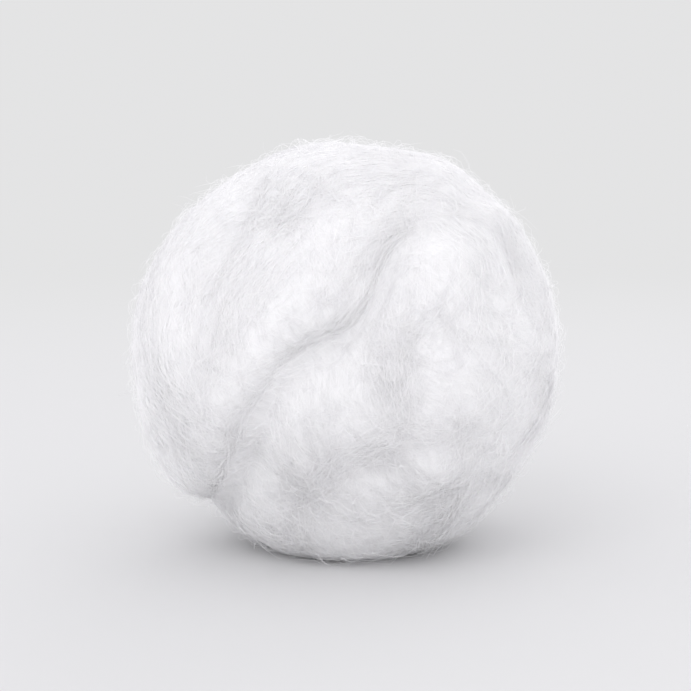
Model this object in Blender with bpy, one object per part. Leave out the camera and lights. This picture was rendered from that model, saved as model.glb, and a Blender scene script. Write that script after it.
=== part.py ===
"""Cotton ball: one soft piece of carded cotton, a short strip rolled up until it is a ball.

Units are metres and +Z is up. The origin is on the flat spot that the ball rests on, under the middle
of the ball. The roll has an axis, with a whorl at each of its two ends. The strip's outer end laps over
the turn beneath it, and that lap runs from one whorl to the other as the ball's longest fold.
"""

import math

import bmesh
import bpy
from mathutils import Vector, noise

# The ball's own size, with its folds smoothed out
BALL_WIDTH = 0.036
BALL_DEPTH = 0.035
BALL_HEIGHT = 0.034
REST_SPOT_WIDTH = 0.013
REST_SPOT_MARGIN = 0.010

# The lap, where the strip's outer end lies on the turn beneath it
LAP_STEP = 0.0021
LAP_EDGE_WIDTH = 0.0018
LAP_FOLD_DEPTH = 0.0016
LAP_FOLD_WIDTH = 0.0017

# The whorl at each end of the roll, where the lap winds in towards the axis
WHORL_WIDTH = 0.030
WHORL_TURNS = 0.9
WHORL_DIMPLE_DEPTH = 0.0013
WHORL_DIMPLE_WIDTH = 0.0100

# The short folds, where the cotton creased as it was rolled
SHORT_FOLD_LENGTH = 0.014
SHORT_FOLD_DEPTH = 0.0008
SHORT_FOLD_WIDTH = 0.0018
SHORT_FOLD_BOW = 0.0014

# The broad dents where the ball has been pressed, and the lumps of uneven cotton
DENT_DEPTH = 0.0003
DENT_WIDTH = 0.0170
LUMP_HEIGHT = 0.0009
LUMP_LENGTH = 0.0110

# How the roll lies: its axis, and where about that axis the lap runs
ROLL_AXIS = Vector((0.72, -0.60, 0.35)).normalized()
LAP_TURNED = math.radians(22)
LAP_SWAY = math.radians(-20)

# Where each short fold has its middle, and its heading from level, in degrees: longitude, latitude, heading
SHORT_FOLDS = (
    (-128, 30, 65),
    (-70, -24, 20),
    (-20, 50, 15),
    (48, 8, 70),
    (118, 34, -40),
    (165, -12, 35),
)

# The middle of each dent, in degrees: longitude, latitude
DENTS = (
    (-165, 12),
    (-95, 62),
    (-40, -38),
    (35, 30),
    (100, -20),
)

# How many faces run along each side of the cube that the ball is made from, and how near the floor
# a corner may lie before it is moved onto the floor, so that the level cut leaves no slivers
SIDE_FACES = 28
FLOOR_SNAP = 0.00006

COTTON_WHITE = (0.90, 0.895, 0.905, 1.0)

MEAN_RADIUS = (BALL_WIDTH + BALL_DEPTH + BALL_HEIGHT) / 6


def clear_scene():
    for old in list(bpy.data.objects):
        bpy.data.objects.remove(old)


def direction_at(longitude, latitude):
    """Unit vector at these angles, in degrees. Longitude 0 is +X and -90 is the front."""
    east, north = math.radians(longitude), math.radians(latitude)
    level = math.cos(north)
    return Vector((math.cos(east) * level, math.sin(east) * level, math.sin(north)))


def bell(distance, width):
    """1 at no distance, fading to nothing over about twice the width."""
    return math.exp(-((distance / width) ** 2))


def soft_step(share):
    """0 up to a share of 0, rising smoothly to 1 at a share of 1."""
    held = min(1.0, max(0.0, share))
    return held * held * (3 - 2 * held)


def lap_turned(polar):
    """Where about the axis the lap runs, at an angle from the axis. It winds in at each whorl."""
    from_end = min(polar, math.pi - polar)
    wound = max(0.0, 1 - 2 * MEAN_RADIUS * from_end / WHORL_WIDTH) ** 2
    return LAP_TURNED + LAP_SWAY * math.sin(2 * polar) - math.tau * WHORL_TURNS * wound


def past_lap(direction):
    """(angle from the axis, angle past the lap from -pi to pi, distance past the lap in metres)."""
    side = ROLL_AXIS.cross(Vector((0, 0, 1))).normalized()
    other = ROLL_AXIS.cross(side)
    polar = ROLL_AXIS.angle(direction)
    turned = math.atan2(direction.dot(other), direction.dot(side))
    past = math.remainder(turned - lap_turned(polar), math.tau)
    nearby = math.pi / 1000
    slope = (lap_turned(polar + nearby) - lap_turned(polar - nearby)) / (2 * nearby)
    lean = math.hypot(1, slope * math.sin(polar))
    return polar, past, MEAN_RADIUS * math.sin(polar) * past / lean


def lap_relief(direction):
    """The strip winds outwards once around the roll, then drops by its step at the lap, into a crease."""
    polar, past, distance = past_lap(direction)
    winding = past / math.tau - math.tanh(distance / LAP_EDGE_WIDTH) / 2
    crease = LAP_FOLD_DEPTH * bell(distance, LAP_FOLD_WIDTH)
    return math.sin(polar) * (LAP_STEP * winding - crease)


def short_fold_relief(direction, longitude, latitude, heading):
    """One short crease, deepest at its middle, along a slightly bowed line."""
    middle = direction_at(longitude, latitude)
    level = Vector((0, 0, 1)).cross(middle).normalized()
    rising = middle.cross(level)
    along = math.cos(math.radians(heading)) * level + math.sin(math.radians(heading)) * rising
    run = MEAN_RADIUS * math.atan2(direction.dot(along), direction.dot(middle))
    share = min(1.0, abs(2 * run / SHORT_FOLD_LENGTH))
    off = MEAN_RADIUS * direction.dot(middle.cross(along)) - SHORT_FOLD_BOW * (1 - share**2)
    return -SHORT_FOLD_DEPTH * (1 - share**2) * bell(off, SHORT_FOLD_WIDTH)


def dimple_relief(direction):
    """The hollow in the middle of each whorl."""
    from_end = MEAN_RADIUS * math.acos(min(1.0, abs(direction.dot(ROLL_AXIS))))
    return -WHORL_DIMPLE_DEPTH * bell(from_end, WHORL_DIMPLE_WIDTH / 2)


def dent_relief(direction):
    """The broad, shallow flats where the ball has been pressed."""
    distances = [MEAN_RADIUS * direction.angle(direction_at(*dent)) for dent in DENTS]
    return -DENT_DEPTH * sum(bell(distance, DENT_WIDTH / 2) for distance in distances)


def lump_relief(direction):
    """Where the cotton is uneven, with a hill or a hollow about every lump's length."""
    return LUMP_HEIGHT * noise.noise(direction * MEAN_RADIUS / LUMP_LENGTH)


def relief(direction):
    """How far the surface lies outside the smooth ball. It fades out around the rest spot."""
    from_bottom = MEAN_RADIUS * math.acos(max(-1.0, min(1.0, -direction.z)))
    clear = soft_step((from_bottom - REST_SPOT_WIDTH / 2) / REST_SPOT_MARGIN)
    folds = sum(short_fold_relief(direction, *fold) for fold in SHORT_FOLDS)
    whole = lap_relief(direction) + folds + dimple_relief(direction)
    return clear * (whole + dent_relief(direction) + lump_relief(direction))


def half_height():
    """Half the height of the whole ball, so that it is BALL_HEIGHT tall once the rest spot is cut flat."""
    spot_share = REST_SPOT_WIDTH / BALL_WIDTH
    return BALL_HEIGHT / (1 + math.sqrt(1 - spot_share**2))


def even_directions():
    """A cube cut into a grid and blown up to a ball, whose vertices are unit directions."""
    grid = bmesh.new()
    bmesh.ops.create_cube(grid, size=2)
    bmesh.ops.subdivide_edges(grid, edges=grid.edges[:], cuts=SIDE_FACES - 1, use_grid_fill=True)
    for vertex in grid.verts:
        evened = [math.tan(math.pi / 4 * share) for share in vertex.co]
        vertex.co = Vector(evened).normalized()
    return grid


def shape_ball(surface):
    """Moves each direction out to the ball's surface, with its lap, folds, dents and lumps."""
    half_size = Vector((BALL_WIDTH / 2, BALL_DEPTH / 2, half_height()))
    for vertex in surface.verts:
        direction = vertex.co.copy()
        vertex.co = direction * half_size + direction * relief(direction)


def flatten_rest_spot(surface):
    """Lifts the ball onto the floor and cuts it level there, as wide as the rest spot."""
    floor_below_middle = BALL_HEIGHT - half_height()
    bmesh.ops.translate(surface, verts=surface.verts[:], vec=(0, 0, floor_below_middle))
    everything = surface.verts[:] + surface.edges[:] + surface.faces[:]
    cut = bmesh.ops.bisect_plane(
        surface,
        geom=everything,
        dist=FLOOR_SNAP,
        plane_co=(0, 0, 0),
        plane_no=(0, 0, 1),
        use_snap_center=True,
        clear_inner=True,
    )
    rim = [item for item in cut["geom_cut"] if isinstance(item, bmesh.types.BMEdge)]
    bmesh.ops.edgeloop_fill(surface, edges=rim)
    bmesh.ops.recalc_face_normals(surface, faces=surface.faces[:])
    for face in surface.faces:
        face.smooth = True
    for edge in rim:
        edge.smooth = False


def centre_on_origin(surface):
    """Puts the middle of the ball's width and depth over the origin."""
    for axis in (0, 1):
        places = [vertex.co[axis] for vertex in surface.verts]
        middle = (min(places) + max(places)) / 2
        for vertex in surface.verts:
            vertex.co[axis] -= middle


def cotton_material():
    cotton = bpy.data.materials.new("cotton")
    cotton.use_nodes = True
    shader = cotton.node_tree.nodes["Principled BSDF"]
    shader.inputs["Base Color"].default_value = COTTON_WHITE
    shader.inputs["Roughness"].default_value = 1.0
    shader.inputs["Metallic"].default_value = 0.0
    shader.inputs["Sheen Weight"].default_value = 0.4
    return cotton


def make_ball():
    surface = even_directions()
    shape_ball(surface)
    flatten_rest_spot(surface)
    centre_on_origin(surface)
    bmesh.ops.triangulate(surface, faces=surface.faces[:], quad_method="SHORT_EDGE")
    mesh = bpy.data.meshes.new("cotton_ball")
    surface.to_mesh(mesh)
    surface.free()
    mesh.materials.append(cotton_material())
    ball = bpy.data.objects.new("cotton_ball", mesh)
    bpy.context.scene.collection.objects.link(ball)


clear_scene()
make_ball()
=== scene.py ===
# %% [markdown]
# A cotton ball starts as a short strip of carded cotton, a loose web of fine fibres that mostly run one
# way. A machine rolls the strip up and turns it until it is a ball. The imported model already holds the
# ball's form: the lap where the strip ends, the whorls at the two ends of the roll and the spot that it
# rests on. This lesson gives it its looks: a matted body, the fibres that lie over it, the fuzz that
# stands off it and a few stray hairs.

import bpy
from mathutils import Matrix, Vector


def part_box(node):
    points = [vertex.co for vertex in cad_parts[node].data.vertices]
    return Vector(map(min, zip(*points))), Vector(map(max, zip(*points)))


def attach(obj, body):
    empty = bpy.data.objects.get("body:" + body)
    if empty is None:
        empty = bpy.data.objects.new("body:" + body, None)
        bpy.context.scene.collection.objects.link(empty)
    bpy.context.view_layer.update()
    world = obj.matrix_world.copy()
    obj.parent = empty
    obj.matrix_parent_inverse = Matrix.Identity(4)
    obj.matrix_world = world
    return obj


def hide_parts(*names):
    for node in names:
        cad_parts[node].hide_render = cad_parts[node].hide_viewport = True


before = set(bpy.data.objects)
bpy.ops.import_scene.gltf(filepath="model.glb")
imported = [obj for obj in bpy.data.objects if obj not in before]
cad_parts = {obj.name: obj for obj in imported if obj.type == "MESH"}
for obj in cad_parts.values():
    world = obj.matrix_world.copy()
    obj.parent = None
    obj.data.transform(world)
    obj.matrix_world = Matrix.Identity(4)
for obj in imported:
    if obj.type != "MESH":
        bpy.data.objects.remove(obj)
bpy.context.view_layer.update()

# %% Bring in what the later cells use
import math
import random

import bpy
import numpy as np
from mathutils import Matrix, Vector, noise
from mathutils.bvhtree import BVHTree

MM = 0.001

# %% [markdown]
# Everything on the ball follows the way it was rolled. The fibres run around the roll's axis, as thread
# runs around a reel, so the axis is the one direction that this script has to know. It is the axis of
# the two whorls in the CAD. The ball's middle and size come from the CAD node's box.

# %% Measure the ball
ROLL_AXIS = Vector((0.72, -0.60, 0.35)).normalized()

low, high = (Vector(corner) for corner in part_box("cotton_ball"))
MIDDLE = (low + high) / 2
RADIUS = sum(high - low) / 6
print(f"The ball's middle is {MIDDLE.z / MM:.1f} mm up, and its radius is {RADIUS / MM:.1f} mm.")

# %% [markdown]
# The winding runs square to the axis and to the line out from the ball's middle, so a cross product
# finds it. It is lost at the two ends of the axis, where the whorls close, and any way will do there.

# %% Find the way the cotton is wound
NEAR_AXIS = 0.05


def wound_way(outward):
    """The direction in which the strip was wound, at this direction from the ball's middle."""
    way = ROLL_AXIS.cross(outward)
    if way.length > NEAR_AXIS:
        return way.normalized()
    return outward.orthogonal().normalized()


print("At its top the ball was wound towards", [round(share, 2) for share in wound_way(Vector((0, 0, 1)))])

# %% [markdown]
# The strip's outer end is the lap. No fibre of the outer turn runs across it, and those of the turn
# beneath go in under it, so the fibres have to know where it is. It runs from one whorl to the other,
# sways a little on its way and winds in at each end. It could be searched for on the mesh, but it is
# surer to write it again with the numbers that the CAD was made with.

# %% Find the lap
LAP_TURNED = math.radians(22)
LAP_SWAY = math.radians(-20)
WHORL_WIDTH = 30 * MM
WHORL_TURNS = 0.9
AROUND_START = ROLL_AXIS.cross(Vector((0, 0, 1))).normalized()
AROUND_QUARTER = ROLL_AXIS.cross(AROUND_START)


def past_lap(outward):
    """How far around the roll's axis this direction lies past the lap, from -pi to pi."""
    polar = ROLL_AXIS.angle(outward)
    from_end = min(polar, math.pi - polar)
    wound_in = max(0, 1 - 2 * RADIUS * from_end / WHORL_WIDTH) ** 2
    lap = LAP_TURNED + LAP_SWAY * math.sin(2 * polar) - math.tau * WHORL_TURNS * wound_in
    around = math.atan2(outward.dot(AROUND_QUARTER), outward.dot(AROUND_START))
    return math.remainder(around - lap, math.tau)


front_past_lap = math.degrees(past_lap(Vector((0, -1, 0))))
print(f"The front of the ball lies {front_past_lap:.0f} degrees past the lap.")

# %% [markdown]
# The body of the ball is matted cotton, too dense to see through. It could be sculpted from a sphere, but
# it has to keep the form and the size of the CAD, so it starts as a copy of the CAD solid. The solid's
# triangles are loose, and merging their doubles makes one skin of them.

# %% Copy the CAD solid
MERGE_WITHIN = 0.01 * MM


def select_only(piece):
    bpy.ops.object.select_all(action="DESELECT")
    piece.select_set(True)
    bpy.context.view_layer.objects.active = piece


body = bpy.data.objects.new("cotton_body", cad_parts["cotton_ball"].data.copy())
bpy.context.scene.collection.objects.link(body)
select_only(body)
bpy.ops.object.mode_set(mode="EDIT")
bpy.ops.mesh.select_all(action="SELECT")
bpy.ops.mesh.remove_doubles(threshold=MERGE_WITHIN)
bpy.ops.object.mode_set(mode="OBJECT")
print("The copy is one skin with", len(body.data.vertices), "vertices.")

# %% [markdown]
# The skin's faces are too large to carry fine relief. Subdividing would keep them uneven, so a voxel
# remesh gives it small, even faces instead, and a Smooth modifier takes off the steps that voxels leave.

# %% Give the body fine, even faces
BODY_FACE = 0.30 * MM
SMOOTH_SHARE = 0.5
SMOOTH_ROUNDS = 6


def apply_modifier(piece, kind, **settings):
    """Adds a modifier, sets it up and applies it."""
    modifier = piece.modifiers.new(kind.lower(), kind)
    for name, value in settings.items():
        setattr(modifier, name, value)
    bpy.ops.object.modifier_apply(modifier=modifier.name)


apply_modifier(body, "REMESH", mode="VOXEL", voxel_size=BODY_FACE, use_smooth_shade=True)
apply_modifier(body, "SMOOTH", factor=SMOOTH_SHARE, iterations=SMOOTH_ROUNDS)
print("The body has", len(body.data.polygons), "faces.")

# %% [markdown]
# Carded cotton is not smooth. It puffs up in soft pillows with a crease between them, and its fibres
# gather in strands that run the way the strip was wound. Noise gives both. Where noise crosses zero, its
# size without its sign has a sharp valley, which makes pillows. Plain noise that is stretched along the
# winding makes strands. A Displace modifier could raise them too, but its textures know nothing of the
# winding, so the vertices are moved here in code.

# %% Follow the winding through noise
SWERVE = 3.0 * MM
SWERVES_ACROSS = 2.5


def winding_place(outward, size, length, axis=ROLL_AXIS):
    """A place in noise whose hills have this size across a winding about the axis, and length along it."""
    around = RADIUS * (outward - axis * outward.dot(axis))
    across = RADIUS * axis.angle(outward) + SWERVE * noise.noise(outward * SWERVES_ACROSS)
    return around / length + axis * across / size


print("Strands swerve up to", SWERVE / MM, "mm off a straight winding.")

# %% [markdown]
# The pillows rise about as much as they sink, because the usual size of the noise is taken off them. The
# ball was pressed flat where it rests, so nothing goes below the floor.

# %% Raise pillows and strands on the body
PILLOWS = (  # height, size across the winding, length along it
    (0.45 * MM, 8.0 * MM, 11.0 * MM),
    (0.12 * MM, 3.5 * MM, 5.5 * MM),
)
STRANDS = (
    (0.10 * MM, 1.4 * MM, 5.0 * MM),
    (0.05 * MM, 0.7 * MM, 2.5 * MM),
)
USUAL_NOISE = 0.25


def relief_here(outward):
    """How far the matted cotton stands proud in this direction from the ball's middle."""
    relief = 0
    for height, size, length in PILLOWS:
        hills = noise.noise(winding_place(outward, size, length))
        relief += height * (abs(hills) - USUAL_NOISE)
    for height, size, length in STRANDS:
        relief += height * noise.noise(winding_place(outward, size, length))
    return relief


for vertex in body.data.vertices:
    outward = (vertex.co - MIDDLE).normalized()
    vertex.co += outward * relief_here(outward)
    vertex.co.z = max(vertex.co.z, 0)
print("The body's widest pillows are about", PILLOWS[0][2] / MM, "mm long.")

# %% [markdown]
# Between the fibres that can be modelled lie thousands more that are too fine. They show as thin streaks,
# most along the winding and some across it, and the body's material draws them. For that it has to know
# which way they run. Each vertex gets three places in noise, as attributes: one for the streaks that
# follow the winding, and two for streaks around axes that lean away from the roll's. The unit there is a
# streak's width, so a pattern with hills one unit wide comes out as streaks.

# %% Note the streaks' ways on the body for its material
STREAK_WIDTH = 0.10 * MM
STREAK_LENGTH = 2.0 * MM
CROSSING_LEAN = math.radians(40)
SLANTING_LEAN = math.radians(-45)
STREAK_AXES = {
    "wound_streaks": ROLL_AXIS,
    "crossing_streaks": Matrix.Rotation(CROSSING_LEAN, 3, "Z") @ ROLL_AXIS,
    "slanting_streaks": Matrix.Rotation(SLANTING_LEAN, 3, "X") @ ROLL_AXIS,
}

for name, axis in STREAK_AXES.items():
    places = body.data.attributes.new(name, "FLOAT_VECTOR", "POINT").data
    for vertex, place in zip(body.data.vertices, places):
        outward = (vertex.co - MIDDLE).normalized()
        place.vector = winding_place(outward, STREAK_WIDTH, STREAK_LENGTH, axis)
print("The streaks run", len(STREAK_AXES), "ways.")

# %% [markdown]
# Drawing the body's finish on a picture needs a map of the body. A ball has no good flat map, but it
# can be seen as a cube blown up. Each side of the cube gets a sixth of the picture, and each face goes to
# the side that it looks out of.

# %% Map the body like a cube
COLUMNS, ROWS = 3, 2
SIDE_SHARE = 0.46


def map_like_a_cube(piece):
    """Gives the piece a map of six squares, one for each side that its faces look out of."""
    layer = piece.data.uv_layers.new(name="OFBake")
    for face in piece.data.polygons:
        looks = face.center - MIDDLE
        axis = max(range(3), key=lambda way: abs(looks[way]))
        side = 2 * axis + (looks[axis] > 0)
        middle = (side % COLUMNS + 0.5, side // COLUMNS + 0.5)
        for loop in face.loop_indices:
            place = piece.data.vertices[piece.data.loops[loop].vertex_index].co - MIDDLE
            u, v = (place[way] / abs(place[axis]) for way in range(3) if way != axis)
            layer.data[loop].uv = (
                (middle[0] + SIDE_SHARE * u) / COLUMNS,
                (middle[1] + SIDE_SHARE * v) / ROWS,
            )


map_like_a_cube(body)
print("The body's map has", COLUMNS * ROWS, "sides.")

# %% [markdown]
# The fibres are the cotton itself. A cotton fibre is finer than a hair and never straight. Each one here
# is a thin tube along a path that creeps over the body, starts off in the way the cotton was wound and
# swerves as it goes. Blender's hair could do this in less code, but the part leaves Blender as meshes,
# and the paths have to mind the lap. A path's points are found by casting rays from outside onto the
# body, so a fibre dips into the folds as the surface does.

# %% Cast rays onto the body
OUTSIDE = 2 * RADIUS

surface = BVHTree.FromPolygons(
    [vertex.co for vertex in body.data.vertices],
    [face.vertices for face in body.data.polygons],
)


def on_surface(outward):
    """(the place on the body in this direction from the ball's middle, the surface's normal there)."""
    place, normal, _, _ = surface.ray_cast(MIDDLE + outward * OUTSIDE, -outward)
    return place, normal


front, _ = on_surface(Vector((0, -1, 0)))
print(f"The body's front is {(front - MIDDLE).length / MM:.1f} mm from the ball's middle.")

# %% [markdown]
# Roots that are strewn at random leave bare spots and clumps. Those on a spiral whose turn is the golden
# angle cover a ball evenly, as seeds cover a sunflower's head. Each root is then moved a little off its
# place, so that no pattern shows.

# %% Spread the roots
GOLDEN_TURN = math.pi * (3 - math.sqrt(5))
ROOT_SCATTER = 0.35


def spread_direction(chance, number, count):
    """One of many directions from the ball's middle: a spiral around it, with each a little off."""
    z = 1 - (2 * number + 1) / count
    level = math.sqrt(1 - z * z)
    turn = GOLDEN_TURN * number
    even = Vector((level * math.cos(turn), level * math.sin(turn), z))
    off = Vector((chance.gauss(0, 1), chance.gauss(0, 1), chance.gauss(0, 1)))
    return (even + off * ROOT_SCATTER * math.sqrt(4 * math.pi / count)).normalized()


print(f"Each root lies {math.degrees(GOLDEN_TURN):.1f} degrees on around the spiral.")

# %% [markdown]
# A fibre of the outer turn that comes to the lap bends along it, and keeps a little back from its edge.
# The way over the lap is the way in which the angle past it grows fastest. Two short steps, to the east
# and to the north, measure that.

# %% Turn a fibre along the lap
NEARBY = 0.001
BACK_FROM_LAP = 0.15


def turned(direction, axis, angle):
    return Matrix.Rotation(angle, 3, axis) @ direction


def across_lap(outward):
    """The way over the lap at this direction from the ball's middle, from the outer turn to the other."""
    east = outward.orthogonal().normalized()
    north = outward.cross(east)
    here = past_lap(outward)
    growth = Vector()
    for way in (east, north):
        there = past_lap((outward + way * NEARBY).normalized())
        growth += way * math.remainder(there - here, math.tau)
    return growth.normalized()


def along_lap(outward, heading):
    """The heading of a fibre that has come to the lap: along it, and a little back from it."""
    across = across_lap(outward)
    along = (heading - across * heading.dot(across)).normalized()
    return (along - across * BACK_FROM_LAP).normalized()


print("A fibre keeps back from the lap by", BACK_FROM_LAP, "of its way along it.")

# %% [markdown]
# A path is made a step at a time. Each step swerves by the fibre's own bend and by a kink of chance, and
# looks ahead for the lap: a fibre of the outer turn bends along it, and one of the turn beneath sinks
# into the body, so that it goes in under the lap.

# %% Creep over the surface
UNDER_LAP = 0.5 * MM


def step(outward, heading, angle):
    """(the next direction from the ball's middle, the heading there) after a step of this angle."""
    return (
        outward * math.cos(angle) + heading * math.sin(angle),
        heading * math.cos(angle) - outward * math.sin(angle),
    )


def creep(chance, kind, outward, heading, length, bend, height):
    """The points of one fibre, from its root in this direction from the ball's middle."""
    stride = length / (kind["points"] - 1)
    points = []
    for number in range(kind["points"]):
        place, normal = on_surface(outward)
        point = place + normal * height * kind["rise"](number / (kind["points"] - 1))
        point.z = max(point.z, kind["thickness"])
        points.append(point)
        heading = turned(heading, outward, (bend + chance.gauss(0, kind["kink"])) * stride)
        now = past_lap(outward)
        soon = past_lap(step(outward, heading, stride / RADIUS)[0])
        if abs(now - soon) < math.pi and now < 0 < soon:
            heading = along_lap(outward, heading)
        if abs(now - soon) < math.pi and soon < 0 < now:
            height = -UNDER_LAP
        outward, heading = step(outward, heading, stride / RADIUS)
    return points


print("Fibres that go in under the lap sink by up to", UNDER_LAP / MM, "mm.")

# %% [markdown]
# Carding leaves the fibres in wisps: a few dozen that start close together and run much the same way.
# Those that start to one side bend back, so a wisp is a spindle with its middle wider than its tips. A
# wisp of one fibre is a loose fibre.

# %% Gather the fibres in wisps
ROOTS_BEHIND = 5
LIFT_SHARES = (0.4, 1)


def wisp(chance, kind, middle):
    """The paths of one wisp's fibres, around this direction from the ball's middle."""
    way = turned(wound_way(middle), middle, chance.gauss(0, kind["spread"]))
    length = chance.uniform(*kind["length"])
    bend = chance.gauss(0, kind["bend"])
    height = chance.uniform(*kind["height"])
    paths = []
    for _ in range(kind["fibres"]):
        aside = chance.gauss(0, kind["width"] / 2)
        behind = chance.gauss(0, length / ROOTS_BEHIND) if kind["fibres"] > 1 else 0
        across = middle.cross(way)
        outward = (middle + (across * aside - way * behind) / RADIUS).normalized()
        heading = (way - outward * way.dot(outward)).normalized()
        heading = turned(heading, outward, chance.gauss(0, kind["fray"]))
        back = 2 * aside / length**2
        lift = height * chance.uniform(*LIFT_SHARES)
        paths.append(creep(chance, kind, outward, heading, length, bend - back, lift))
    return paths


print(f"Most of a wisp's roots lie within {1 / ROOTS_BEHIND:.0%} of its length from its middle.")

# %% [markdown]
# A curve object with a bevel turns the paths into tubes, as extruding a ring along each path by hand
# would. Its bevel is a triangle, the fewest sides that a tube can have, because thousands of fibres
# share the faces that the model may have. Each point's radius thins the fibre towards its two tips.

# %% Make tubes of the paths
SIDES = 3
TIP_TAPER = 0.6
TAPER_POWER = 3


def fibre_section(thickness):
    """A closed curve with three points, which a fibre takes as its section."""
    curve = bpy.data.curves.new("fibre_section", "CURVE")
    ring = curve.splines.new("POLY")
    ring.points.add(SIDES - 1)
    for corner, point in enumerate(ring.points):
        turn = math.tau * corner / SIDES
        point.co = (thickness / 2 * math.cos(turn), thickness / 2 * math.sin(turn), 0, 1)
    ring.use_cyclic_u = True
    section = bpy.data.objects.new("fibre_section", curve)
    bpy.context.scene.collection.objects.link(section)
    return section


def tubes_along(name, paths, thickness):
    """One mesh object with a tube along each path."""
    curve = bpy.data.curves.new(name, "CURVE")
    curve.dimensions = "3D"
    curve.bevel_mode = "OBJECT"
    curve.bevel_object = fibre_section(thickness)
    curve.use_fill_caps = True
    for path in paths:
        fibre = curve.splines.new("POLY")
        fibre.points.add(len(path) - 1)
        for number, (point, place) in enumerate(zip(fibre.points, path)):
            from_middle = abs(2 * number / (len(path) - 1) - 1)
            point.co = (*place, 1)
            point.radius = 1 - TIP_TAPER * from_middle**TAPER_POWER
    piece = bpy.data.objects.new(name, curve)
    bpy.context.scene.collection.objects.link(piece)
    select_only(piece)
    bpy.ops.object.convert(target="MESH")
    return piece


print(f"A fibre's tips are {1 - TIP_TAPER:.1f} as thick as its middle.")

# %% [markdown]
# A finish is drawn on a picture through a map of the piece. Blender can unwrap a solid by itself, but
# thousands of fibres would take it long. So each fibre gets a square of its own on a grid: its length
# runs across the square, and its three sides lie one above another. The mesh that comes out of a curve
# has its tips first, from the last fibre back to the first, and then each fibre ring by ring.

# %% Give each fibre a square of its own in the map
SQUARE_MARGIN = 0.06
TIP_WIDTH = 0.05
SIDES_START = 1.5 * TIP_WIDTH


def map_fibres(piece, count, points):
    """Maps a piece of this many fibres, each with this many points, onto a grid of squares."""
    grid = math.ceil(math.sqrt(count))
    number = np.arange(count)
    corner = np.stack([number % grid, number // grid], -1)

    tip = np.array([[0, 0], [TIP_WIDTH, 0.5], [0, 1]])
    tips = np.stack([[1, 0] - tip * [1, -1], tip])
    tips = np.broadcast_to(tips, (count, 2, SIDES, 2))

    along = np.arange(points - 1)[:, None, None] + np.array([0, 1, 1, 0])
    along = SIDES_START + (1 - 2 * SIDES_START) * along / (points - 1)
    up = np.array([[3, 3, 2, 2], [1, 1, 0, 0], [2, 2, 1, 1]]) / SIDES
    sides = np.stack(np.broadcast_arrays(along, up), -1)
    sides = np.broadcast_to(sides, (count, *sides.shape))

    def placed(shape, corners):
        """A fibre's layout put into the squares with these corners."""
        corners = corners.reshape(count, *[1] * (shape.ndim - 2), 2)
        return (corners + SQUARE_MARGIN + (1 - 2 * SQUARE_MARGIN) * shape) / grid

    places = np.concatenate([placed(tips, corner[::-1]).ravel(), placed(sides, corner).ravel()])
    layers = piece.data.uv_layers
    while layers:
        layers.remove(layers[0])
    layers.new(name="OFBake").data.foreach_set("uv", places.astype("f"))


print("A fibre's square keeps", SQUARE_MARGIN, "of its width clear all round.")

# %% [markdown]
# One kind of fibre becomes one piece. Its paths are made tubes and mapped, and only then are the tips
# welded on, because the map goes by the order in which the curve leaves its faces. The shading stays
# flat: a round shading on three sides would darken the whole fibre.

# %% Spin a kind of fibre
WELD_WITHIN = 0.0001 * MM


def spin(name, kind):
    """One piece with all the fibres of this kind."""
    chance = random.Random(kind["seed"])
    count = kind["wisps"]
    middles = [spread_direction(chance, number, count) for number in range(count)]
    paths = [path for middle in middles for path in wisp(chance, kind, middle)]
    piece = tubes_along(name, paths, kind["thickness"])
    map_fibres(piece, len(paths), kind["points"])
    bpy.ops.object.mode_set(mode="EDIT")
    bpy.ops.mesh.select_all(action="SELECT")
    bpy.ops.mesh.remove_doubles(threshold=WELD_WITHIN)
    bpy.ops.mesh.normals_make_consistent(inside=False)
    bpy.ops.object.mode_set(mode="OBJECT")
    bpy.ops.object.shade_flat()
    bpy.data.objects.remove(bpy.data.objects["fibre_section"])
    print(name, "has", len(paths), "fibres and", len(piece.data.polygons), "faces.")
    return piece


# %% [markdown]
# Fibres stand up from the cotton in three ways. Most lie on it all along, fuzz is held at both ends and
# loops up between them, and a stray hair is held at its root alone. A rise says how much of its height a
# fibre has, at a share of its length from 0 to 1.

# %% Say how fibres rise
LOOP_POWER = 1.5
HAIR_POWER = 1.6


def lying(share):
    """A fibre that lies on the body all along."""
    return 0.5 + 0.5 * math.sin(math.pi * share)


def looped(share):
    """A fibre whose two ends are held, and whose middle stands off."""
    return math.sin(math.pi * share) ** LOOP_POWER


def loose_end(share):
    """A fibre that is held at its root, with its tip free."""
    return share**HAIR_POWER


print("Half-way along, a stray hair has", round(loose_end(0.5), 2), "of its height.")

# %% [markdown]
# These are the kinds of fibre. Each has a seed for its chance, a number of wisps, of fibres in a wisp and
# of points along a fibre, and a thickness. Length and height are each a least and a most. Width is how
# wide a wisp is. Spread is how far wisps turn from the way of the winding, and fray how far a wisp's
# fibres turn from each other. Bend is how much a fibre curves all along, and kink how much it swerves at
# each step, both in radians for each metre.

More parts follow.
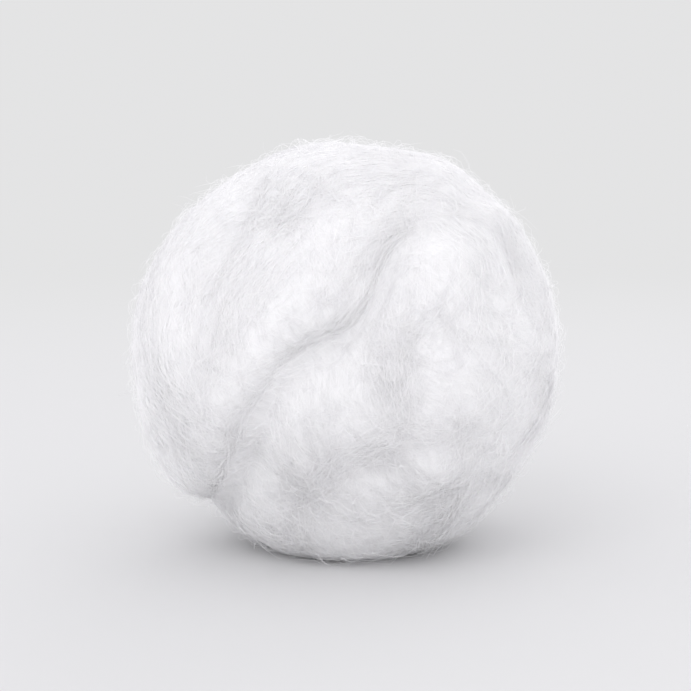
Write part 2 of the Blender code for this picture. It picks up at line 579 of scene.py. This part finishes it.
# %% List the kinds of fibre
MATTED = {
    "seed": 1, "wisps": 3700, "fibres": 1, "points": 9, "thickness": 0.030 * MM,
    "length": (4 * MM, 9 * MM), "height": (0.08 * MM, 0.22 * MM), "width": 0,
    "spread": math.radians(45), "fray": 0, "bend": 80, "kink": 150, "rise": lying,
}
WISPS = {
    **MATTED, "wisps": 120, "fibres": 31, "length": (6 * MM, 10 * MM), "width": 2.6 * MM,
    "height": (0.14 * MM, 0.34 * MM), "spread": math.radians(35), "fray": math.radians(7), "kink": 60,
}
KINDS = {
    "matted_fibres": MATTED,
    "wisps_1": {**WISPS, "seed": 2},
    "wisps_2": {
        **WISPS, "seed": 3, "wisps": 175, "fibres": 21, "width": 2.0 * MM,
        "spread": math.radians(50),
    },
    "fuzz": {
        **MATTED, "seed": 4, "wisps": 5700, "points": 6, "thickness": 0.028 * MM,
        "length": (1.5 * MM, 4.5 * MM), "height": (0.2 * MM, 1.2 * MM), "rise": looped,
        "spread": math.radians(120), "bend": 300, "kink": 300,
    },
    "stray_fibres": {
        **MATTED, "seed": 5, "wisps": 800, "points": 12, "thickness": 0.024 * MM,
        "length": (4 * MM, 8 * MM), "height": (0.5 * MM, 2.2 * MM), "rise": loose_end,
        "spread": math.radians(120), "bend": 260, "kink": 200,
    },
}
print("There are", sum(kind["wisps"] * kind["fibres"] for kind in KINDS.values()), "fibres to spin.")

# %% Lay the fibres on and around the body
fibres = {name: spin(name, kind) for name, kind in KINDS.items()}

# %% [markdown]
# Cotton is white, with next to no shine. Its tone varies a little from tuft to tuft, which a ramp on
# noise gives, and a weak sheen stands for the down on it. A plain white would do from far off, but up
# close it looks like plastic. The fibres and the body start from the same recipe. The body is darker,
# with painted shade in its tone, as deep as the fibres over it look with the shade between them.

# %% Write the recipe for cotton
FIBRE_TONES = ((0.982, 0.978, 0.990, 1), (0.997, 0.993, 1.000, 1))
# The body's tones hold painted shade: they are darker than the fibres' by the shade between fibres.
BODY_TONES_WITH_PAINTED_SHADE = ((0.900, 0.896, 0.906, 1), (0.935, 0.931, 0.940, 1))
TUFT_SIZE = 1.5 * MM
TUFT_DETAIL = 4
TONE_STARTS, TONE_ENDS = 0.35, 0.65
SHINE = 0.15
SHEEN = 0.15
SHEEN_ROUGHNESS = 0.6


def cotton(name, tones):
    """White cotton, whose tone varies from tuft to tuft between these two."""
    material = bpy.data.materials.new(name)
    material.use_nodes = True
    nodes, links = material.node_tree.nodes, material.node_tree.links
    shader = nodes["Principled BSDF"]
    shader.inputs["Roughness"].default_value = 1
    shader.inputs["Specular IOR Level"].default_value = SHINE
    shader.inputs["Sheen Weight"].default_value = SHEEN
    shader.inputs["Sheen Roughness"].default_value = SHEEN_ROUGHNESS

    place = nodes.new("ShaderNodeTexCoord")
    tufts = nodes.new("ShaderNodeTexNoise")
    tufts.inputs["Scale"].default_value = 1 / TUFT_SIZE
    tufts.inputs["Detail"].default_value = TUFT_DETAIL
    links.new(place.outputs["Object"], tufts.inputs["Vector"])
    tone = nodes.new("ShaderNodeValToRGB")
    tone.name = "tone"
    for stop, position, colour in zip(tone.color_ramp.elements, (TONE_STARTS, TONE_ENDS), tones):
        stop.position = position
        stop.color = colour
    links.new(tufts.outputs["Fac"], tone.inputs["Fac"])
    links.new(tone.outputs["Color"], shader.inputs["Base Color"])
    return material


matted = cotton("matted_cotton", BODY_TONES_WITH_PAINTED_SHADE)
loose = cotton("cotton_fibre", FIBRE_TONES)
print("A fibre sends back at least", FIBRE_TONES[0][1], "of the light.")

# %% [markdown]
# Noise turns into fibres with one more step. It swings around a half, and it is a half along thin lines,
# so a ramp that is white only there draws a web of lines. The attributes stretch the web into streaks.
# The three ways are laid over each other by keeping the highest of the three at each spot. A picture of
# fibres could be laid on instead, but it would stretch and show its seams on a ball.

# %% Draw the fine fibres of the body
LINE_HALF_WIDTH = 0.09
LINE_DETAIL = 2
LINE_WOBBLE = 0.4


def thin_lines(nodes, links, attribute):
    """A value that is 1 along thin streaks, which run the way this attribute says, and 0 between them."""
    place = nodes.new("ShaderNodeAttribute")
    place.attribute_name = attribute
    hills = nodes.new("ShaderNodeTexNoise")
    hills.inputs["Scale"].default_value = 1
    hills.inputs["Detail"].default_value = LINE_DETAIL
    hills.inputs["Distortion"].default_value = LINE_WOBBLE
    links.new(place.outputs["Vector"], hills.inputs["Vector"])
    line = nodes.new("ShaderNodeValToRGB")
    line.color_ramp.interpolation = "EASE"
    line.color_ramp.elements.new(0.5)
    stops = zip(line.color_ramp.elements, (-LINE_HALF_WIDTH, 0, LINE_HALF_WIDTH), (0, 1, 0))
    for stop, off_half, value in stops:
        stop.position = 0.5 + off_half
        stop.color = (value, value, value, 1)
    links.new(hills.outputs["Fac"], line.inputs["Fac"])
    return line.outputs["Color"]


def highest(nodes, links, values):
    """The highest of several values, through Maximum nodes."""
    top, *others = values
    for other in others:
        pick = nodes.new("ShaderNodeMath")
        pick.operation = "MAXIMUM"
        links.new(top, pick.inputs[0])
        links.new(other, pick.inputs[1])
        top = pick.outputs["Value"]
    return top


nodes, links = matted.node_tree.nodes, matted.node_tree.links
fine_fibres = highest(nodes, links, [thin_lines(nodes, links, name) for name in STREAK_AXES])
print("The body's material has", len(nodes), "nodes.")

# %% [markdown]
# The fine fibres raise the surface through a bump. Painted shade darkens the gaps between them, and
# painted light lifts the fibres a touch. Both are slight. Light passes through real cotton and fills its
# gaps, so a strong bump would make it grey.

# %% Raise and shade the fine fibres
FINE_FIBRE_HEIGHT = 0.012 * MM
PAINTED_GAP_SHADE, PAINTED_FIBRE_LIGHT = 0.96, 1.02

shader = nodes["Principled BSDF"]
bump = nodes.new("ShaderNodeBump")
bump.inputs["Distance"].default_value = FINE_FIBRE_HEIGHT
links.new(fine_fibres, bump.inputs["Height"])
links.new(bump.outputs["Normal"], shader.inputs["Normal"])

# Painted shade and light: the tone is scaled down in the gaps between the fine fibres, and up on them.
shade = nodes.new("ShaderNodeMapRange")
shade.inputs["To Min"].default_value = PAINTED_GAP_SHADE
shade.inputs["To Max"].default_value = PAINTED_FIBRE_LIGHT
links.new(fine_fibres, shade.inputs["Value"])
shaded = nodes.new("ShaderNodeVectorMath")
shaded.operation = "SCALE"
links.new(nodes["tone"].outputs["Color"], shaded.inputs[0])
links.new(shade.outputs["Result"], shaded.inputs["Scale"])
links.new(shaded.outputs["Vector"], shader.inputs["Base Color"])
print("The fine fibres stand", FINE_FIBRE_HEIGHT / MM, "mm high.")

# %% [markdown]
# Each piece now gets its cotton. The CAD solid is hidden, so that cotton_body takes its place, and all
# six pieces ride on root, the model's one body.

# %% Put the materials on
body.data.materials.clear()
body.data.materials.append(matted)
for piece in fibres.values():
    piece.data.materials.append(loose)
print("The body is of", matted.name, "and the fibres are of", loose.name)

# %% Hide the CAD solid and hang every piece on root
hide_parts("cotton_ball")
for piece in (body, *fibres.values()):
    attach(piece, "root")
print("Pieces of the ball:", 1 + len(fibres))

# %% [markdown]
# The stage is a plain pale floor in a pale studio. A white one would swallow the ball's fuzz, so it is a
# little darker than cotton. It is matt, to keep the ball's soft shadow and add no gloss of its own.

# %% Lay the floor
FLOOR_SIZE = 4
FLOOR_TONE = (0.745, 0.745, 0.75, 1)

bpy.ops.object.select_all(action="DESELECT")
bpy.ops.mesh.primitive_plane_add(size=FLOOR_SIZE)
floor = bpy.context.object
floor.name = "floor"
ground = bpy.data.materials.new("studio_floor")
ground.use_nodes = True
floor.data.materials.append(ground)
nodes, links = ground.node_tree.nodes, ground.node_tree.links
matt = nodes["Principled BSDF"]
matt.inputs["Base Color"].default_value = FLOOR_TONE
matt.inputs["Roughness"].default_value = 1
matt.inputs["Specular IOR Level"].default_value = 0
print("The floor is", FLOOR_SIZE, "m wide.")

# %% [markdown]
# Further out the floor turns into the plain tone of the backdrop, so that no horizon shows. Only rays
# that show the background see that tone, which are those from the camera and those by way of metal or
# glass. The rays that light the ball still meet the matt floor.

# %% Fade the floor into the backdrop
FADE_STARTS, FADE_ENDS = 0.04, 0.25
BACKDROP_TONE = (0.775, 0.775, 0.78, 1)


def background_rays(nodes, links):
    """A value that is 1 for the rays that show the background, and 0 for those that light the ball."""
    rays = nodes.new("ShaderNodeLightPath")
    kinds = ("Is Camera Ray", "Is Glossy Ray", "Is Transmission Ray")
    return highest(nodes, links, [rays.outputs[kind] for kind in kinds])


plain = nodes.new("ShaderNodeEmission")
plain.inputs["Color"].default_value = BACKDROP_TONE
plain.inputs["Strength"].default_value = 1
where = nodes.new("ShaderNodeTexCoord")
distance = nodes.new("ShaderNodeVectorMath")
distance.operation = "LENGTH"
links.new(where.outputs["Object"], distance.inputs[0])
fade = nodes.new("ShaderNodeMapRange")
fade.interpolation_type = "SMOOTHSTEP"
fade.inputs["From Min"].default_value = FADE_STARTS
fade.inputs["From Max"].default_value = FADE_ENDS
links.new(distance.outputs["Value"], fade.inputs["Value"])
shown = nodes.new("ShaderNodeMath")
shown.operation = "MULTIPLY"
links.new(fade.outputs["Result"], shown.inputs[0])
links.new(background_rays(nodes, links), shown.inputs[1])
blend = nodes.new("ShaderNodeMixShader")
links.new(shown.outputs["Value"], blend.inputs["Fac"])
links.new(matt.outputs["BSDF"], blend.inputs[1])
links.new(plain.outputs["Emission"], blend.inputs[2])
links.new(blend.outputs["Shader"], nodes["Material Output"].inputs["Surface"])
print("The floor fades to the backdrop from", FADE_STARTS, "to", FADE_ENDS, "m from the ball.")

# %% [markdown]
# Soft light comes from all round, from a white dome with a faint cool tint. The rays that show the
# background see the backdrop's tone in its place.

# %% Light the studio from all round
DOME_TINT = (0.985, 0.98, 1, 1)
DOME_LIGHT = 0.96

world = bpy.data.worlds.new("studio")
bpy.context.scene.world = world
world.use_nodes = True
nodes, links = world.node_tree.nodes, world.node_tree.links
dome = nodes["Background"]
dome.inputs["Color"].default_value = DOME_TINT
dome.inputs["Strength"].default_value = DOME_LIGHT
backdrop = nodes.new("ShaderNodeBackground")
backdrop.inputs["Color"].default_value = BACKDROP_TONE
backdrop.inputs["Strength"].default_value = 1
choose = nodes.new("ShaderNodeMixShader")
links.new(background_rays(nodes, links), choose.inputs["Fac"])
links.new(dome.outputs["Background"], choose.inputs[1])
links.new(backdrop.outputs["Background"], choose.inputs[2])
links.new(choose.outputs["Shader"], nodes["World Output"].inputs["Surface"])
print("The studio's dome has a strength of", DOME_LIGHT)

# %% [markdown]
# A softbox up to the left gives the lap and the pillows their shade. A low fill at the front lightens the
# ball's lower half, and one behind it keeps its back as white as its front.

# %% Add three softboxes
def softbox(name, place, size, watts):
    """A square area lamp that faces the ball."""
    lamp = bpy.data.lights.new(name, "AREA")
    lamp.size = size
    lamp.energy = watts
    holder = bpy.data.objects.new(name, lamp)
    bpy.context.scene.collection.objects.link(holder)
    holder.location = place
    holder.rotation_euler = (MIDDLE - Vector(place)).to_track_quat("-Z", "Y").to_euler()
    print(name, "has", watts, "W.")


softbox("key_light", place=(-0.15, -0.33, 0.33), size=0.30, watts=0.36)
softbox("front_fill", place=(0.08, -0.42, 0.04), size=0.35, watts=0.25)
softbox("back_fill", place=(0.14, 0.42, 0.16), size=0.35, watts=0.42)

# %% [markdown]
# The camera looks at the ball from the front and a little from above, through a long lens, which keeps
# its roundness true. It stands close to a small ball, so its near limit is brought in as well.

# %% Set up the camera
VIEW_RISE = math.radians(8)
CAMERA_AWAY = 0.165
LENS = 100
NEAREST = 0.01

camera = bpy.data.objects.new("camera", bpy.data.cameras.new("camera"))
bpy.context.scene.collection.objects.link(camera)
camera.data.lens = LENS
camera.data.clip_start = NEAREST
back = Vector((0, -math.cos(VIEW_RISE), math.sin(VIEW_RISE)))
camera.location = MIDDLE + back * CAMERA_AWAY
camera.rotation_euler = (-back).to_track_quat("-Z", "Y").to_euler()
bpy.context.scene.camera = camera
bpy.context.scene.view_settings.view_transform = "Standard"
print("The camera is", CAMERA_AWAY / MM, "mm from the ball's middle.")
